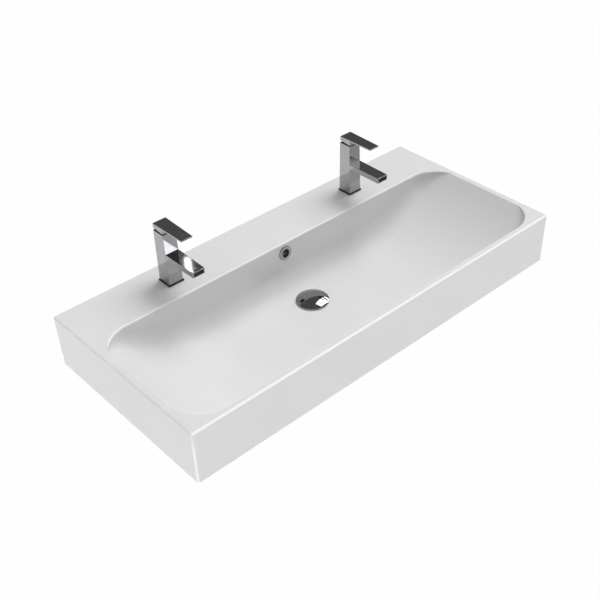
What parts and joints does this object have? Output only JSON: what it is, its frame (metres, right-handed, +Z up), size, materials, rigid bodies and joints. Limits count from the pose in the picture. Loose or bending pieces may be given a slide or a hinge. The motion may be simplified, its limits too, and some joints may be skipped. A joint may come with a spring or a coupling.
{
  "type": "hand basin",
  "caption": "Wall-hung white ceramic trough basin with a wide tap deck, square chrome lever taps, a domed push-open waste and a round overflow.",
  "frame": {"origin": "on the wall, midway between the two wall-bolt holes", "axes": "+X along the basin, to the right of a person facing it; +Y into the wall; +Z up"},
  "size_m": [1, 0.455, 0.3355],
  "materials": {
    "glaze": "glossy white glaze",
    "chrome": "polished",
    "brass": "machined",
    "steel": "machined",
    "black rubber": "matte",
    "black plastic": "matte",
    "white plastic": "matte",
    "disc ceramic": "lapped"
  },
  "bodies": {
    "root": {"basin": "glaze", "overflow_ring": "chrome", "waste_body": "chrome", "waste_upper_seal": "black rubber", "waste_lower_gasket": "black rubber", "waste_backnut": "brass", "clicker_housing": "white plastic", "clicker_spring": "steel", "tap_left_base_gasket": "black rubber", "tap_left_base_plate": "black plastic", "tap_left_body": "chrome", "tap_left_flow_straightener": "black plastic", "tap_left_cartridge": "white plastic", "tap_left_fixed_disc": "disc ceramic", "tap_left_retaining_nut": "brass", "tap_left_top_trim": "black plastic", "tap_left_stud": "steel", "tap_left_clamp_gasket": "black rubber", "tap_left_clamp_washer": "steel", "tap_left_clamp_nut": "brass", "tap_right_base_gasket": "black rubber", "tap_right_base_plate": "black plastic", "tap_right_body": "chrome", "tap_right_flow_straightener": "black plastic", "tap_right_cartridge": "white plastic", "tap_right_fixed_disc": "disc ceramic", "tap_right_retaining_nut": "brass", "tap_right_top_trim": "black plastic", "tap_right_stud": "steel", "tap_right_clamp_gasket": "black rubber", "tap_right_clamp_washer": "steel", "tap_right_clamp_nut": "brass"},
    "waste_plug": {"waste_cap": "chrome", "cap_seal": "black rubber", "clicker_stem": "brass"},
    "tap_left_swivel": {"tap_left_carrier": "white plastic", "tap_left_pivot_pin": "steel"},
    "tap_left_lever": {"tap_left_spindle": "brass", "tap_left_handle": "chrome", "tap_left_set_screw": "steel", "tap_left_cover_plug": "chrome"},
    "tap_left_disc": {"tap_left_moving_disc": "disc ceramic"},
    "tap_right_swivel": {"tap_right_carrier": "white plastic", "tap_right_pivot_pin": "steel"},
    "tap_right_lever": {"tap_right_spindle": "brass", "tap_right_handle": "chrome", "tap_right_set_screw": "steel", "tap_right_cover_plug": "chrome"},
    "tap_right_disc": {"tap_right_moving_disc": "disc ceramic"}
  },
  "joints": [
    {"name": "waste_cap_rise", "type": "slide", "parent": "root", "child": "waste_plug", "axis": [0, 0, 1], "range_m": [0, 0.009], "deforming": ["clicker_spring"]},
    {"name": "tap_left_turn", "type": "hinge", "parent": "root", "child": "tap_left_swivel", "pos_m": [-0.258, -0.0635, 0.178], "axis": [0, 0, 1], "range_deg": [-45, 45]},
    {"name": "tap_left_lift", "type": "hinge", "parent": "tap_left_swivel", "child": "tap_left_lever", "pos_m": [-0.258, -0.0635, 0.178], "axis": [-1, 0, 0], "range_deg": [0, 16]},
    {"name": "tap_left_disc_slide", "type": "slide", "parent": "tap_left_swivel", "child": "tap_left_disc", "axis": [0, -1, 0], "range_m": [0, 0.00345]},
    {"name": "tap_right_turn", "type": "hinge", "parent": "root", "child": "tap_right_swivel", "pos_m": [0.258, -0.0635, 0.178], "axis": [0, 0, 1], "range_deg": [-45, 45]},
    {"name": "tap_right_lift", "type": "hinge", "parent": "tap_right_swivel", "child": "tap_right_lever", "pos_m": [0.258, -0.0635, 0.178], "axis": [-1, 0, 0], "range_deg": [0, 16]},
    {"name": "tap_right_disc_slide", "type": "slide", "parent": "tap_right_swivel", "child": "tap_right_disc", "axis": [0, -1, 0], "range_m": [0, 0.00345]}
  ],
  "couplings": [
    {"joint": "tap_left_disc_slide", "follows": "tap_left_lift", "m_per_rad": 0.01235},
    {"joint": "tap_right_disc_slide", "follows": "tap_right_lift", "m_per_rad": 0.01235}
  ]
}
